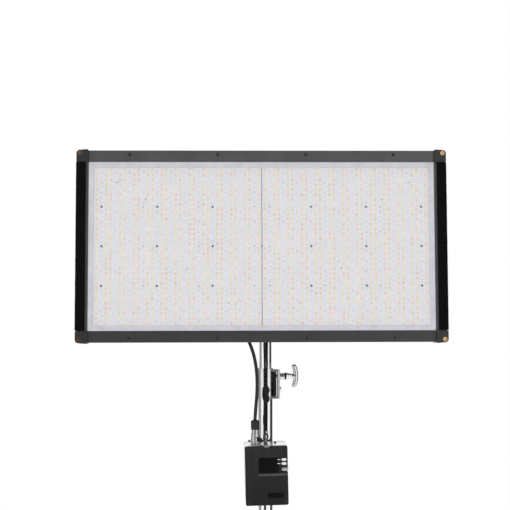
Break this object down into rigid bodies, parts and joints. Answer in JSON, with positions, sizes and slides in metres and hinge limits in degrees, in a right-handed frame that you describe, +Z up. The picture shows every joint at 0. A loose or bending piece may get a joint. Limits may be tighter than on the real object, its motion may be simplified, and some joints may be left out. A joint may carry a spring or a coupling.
{
  "type": "led panel light",
  "caption": "Wide rectangular LED panel light that tilts on a chrome stand column, with a hanging control box.",
  "frame": {"origin": "seat face of the base pin, on the stand column's axis", "axes": "+Z up the column, +X to the right seen from the lit side, the light faces -Y"},
  "size_m": [1, 0.1972, 1.1216],
  "materials": {
    "frame_grey": "satin anodised",
    "cap_black": "fine satin paint",
    "brass": "machined",
    "black_steel": "black oxide",
    "loop_tape": "napped loop pile",
    "liner_white": "matt",
    "board_white": "white solder mask",
    "aluminium": "mill finish",
    "cover_black": "black anodised",
    "chrome": "polished",
    "cast_chrome": "cast and plated",
    "black_plastic": "moulded",
    "rubber": "matt",
    "webbing": "woven",
    "silver_body": "bead blasted",
    "plate_black": "brushed and anodised",
    "screen_glass": "gloss",
    "button_white": "moulded",
    "knob_grey": "ribbed",
    "plated_steel": "plated",
    "circuit_green": "solder mask",
    "nylon": "turned"
  },
  "bodies": {
    "column": {"base_pin": "plated_steel", "column_tube": "chrome", "collar_sleeve": "cast_chrome", "clamp_block": "cast_chrome", "collar_rivet": "chrome", "riser_bushing": "nylon"},
    "clamp_shoe": {"brake_shoe": "black_plastic", "handle_washer": "black_plastic"},
    "t_handle": {"t_handle": "cast_chrome", "clamp_screw": "plated_steel"},
    "riser": {"riser_tube": "chrome", "riser_stud": "plated_steel"},
    "head": {"receiver": "cap_black", "lanyard_peg": "plated_steel", "strap_loop": "webbing", "buckle": "black_plastic", "lower_strap": "webbing", "snap_hook": "black_steel", "cable": "rubber", "connector_boot": "rubber", "connector_sleeve": "plated_steel", "socket_flange": "plated_steel", "control_housing": "silver_body", "front_plate": "plate_black", "rear_plate": "plate_black", "plate_screws": "black_steel", "screen": "screen_glass", "label_plate": "screen_glass", "strap_lug": "plated_steel", "circuit_boards": "circuit_green", "dc_inlet": "plated_steel"},
    "lock_knob": {"lock_knob": "black_plastic"},
    "tilt_lever": {"tilt_lever": "black_steel"},
    "hook_gate": {"hook_gate": "black_steel"},
    "coupling_ring": {"coupling_ring": "plated_steel"},
    "latch_lever": {"latch_lever": "black_plastic"},
    "up_button": {"up_button": "button_white"},
    "down_button": {"down_button": "button_white"},
    "power_button": {"power_button": "black_plastic"},
    "encoder_knob": {"encoder_knob": "knob_grey"},
    "panel": {"top_rail": "frame_grey", "bottom_rail": "frame_grey", "left_rail": "frame_grey", "right_rail": "frame_grey", "corner_caps": "cap_black", "corner_screws": "brass", "rail_screws": "black_steel", "loop_tapes": "loop_tape", "white_liner": "liner_white", "led_board_left": "board_white", "led_board_right": "board_white", "board_screws": "black_steel", "heat_spreader": "aluminium", "rear_cover": "cover_black", "rear_stiffeners": "aluminium", "tilt_bracket": "cap_black", "bracket_bolts": "black_steel", "junction_box": "cap_black", "cable_gland": "black_plastic", "tilt_bolt": "plated_steel"}
  },
  "joints": [
    {"name": "riser_slide", "type": "slide", "parent": "column", "child": "riser", "axis": [0, 0, 1], "range_m": [-0.04, 0.1]},
    {"name": "head_pan", "type": "hinge", "parent": "riser", "child": "head", "pos_m": [0, 0, 0.73], "axis": [0, 0, 1], "range_deg": [-45, 45]},
    {"name": "panel_tilt", "type": "hinge", "parent": "head", "child": "panel", "pos_m": [0, -0.05, 0.775], "axis": [-1, 0, 0], "range_deg": [-5, 55]},
    {"name": "tilt_lever_turn", "type": "hinge", "parent": "panel", "child": "tilt_lever", "pos_m": [0.035, -0.05, 0.775], "axis": [1, 0, 0], "range_deg": [0, 80]},
    {"name": "lock_knob_turn", "type": "hinge", "parent": "head", "child": "lock_knob", "pos_m": [0, 0.035, 0.73], "axis": [0, 1, 0], "range_deg": [0, 360]},
    {"name": "shoe_slide", "type": "slide", "parent": "column", "child": "clamp_shoe", "axis": [1, 0, 0], "range_m": [0, 0.0015]},
    {"name": "handle_turn", "type": "hinge", "parent": "clamp_shoe", "child": "t_handle", "pos_m": [0.06, 0, 0.4157], "axis": [1, 0, 0], "range_deg": [0, 360]},
    {"name": "up_press", "type": "slide", "parent": "head", "child": "up_button", "axis": [-0.0175, 0.9998, 0], "range_m": [0, 0.001], "stiffness_N_per_m": 600},
    {"name": "down_press", "type": "slide", "parent": "head", "child": "down_button", "axis": [-0.0175, 0.9998, 0], "range_m": [0, 0.001], "stiffness_N_per_m": 600},
    {"name": "power_press", "type": "slide", "parent": "head", "child": "power_button", "axis": [0.0209, 0.0004, -0.9998], "range_m": [0, 0.0012], "stiffness_N_per_m": 600},
    {"name": "dial_turn", "type": "hinge", "parent": "head", "child": "encoder_knob", "pos_m": [0.05027, -0.08862, 0.17286], "axis": [0.9996, 0.0174, 0.0209], "continuous": true},
    {"name": "coupling_turn", "type": "hinge", "parent": "head", "child": "coupling_ring", "pos_m": [-0.0298, -0.06021, 0.25381], "axis": [-0.0209, -0.0004, 0.9998], "range_deg": [0, 90]},
    {"name": "latch_press", "type": "slide", "parent": "head", "child": "latch_lever", "axis": [-0.9996, -0.0174, -0.0209], "range_m": [0, 0.0009], "stiffness_N_per_m": 500},
    {"name": "gate_swing", "type": "hinge", "parent": "head", "child": "hook_gate", "pos_m": [-0.0068, -0.06, 0.2572], "axis": [0, -1, 0], "range_deg": [0, 20], "stiffness_Nm_per_rad": 0.02}
  ],
  "couplings": [
    {"joint": "shoe_slide", "follows": "handle_turn", "m_per_rad": 0.00023873}
  ]
}
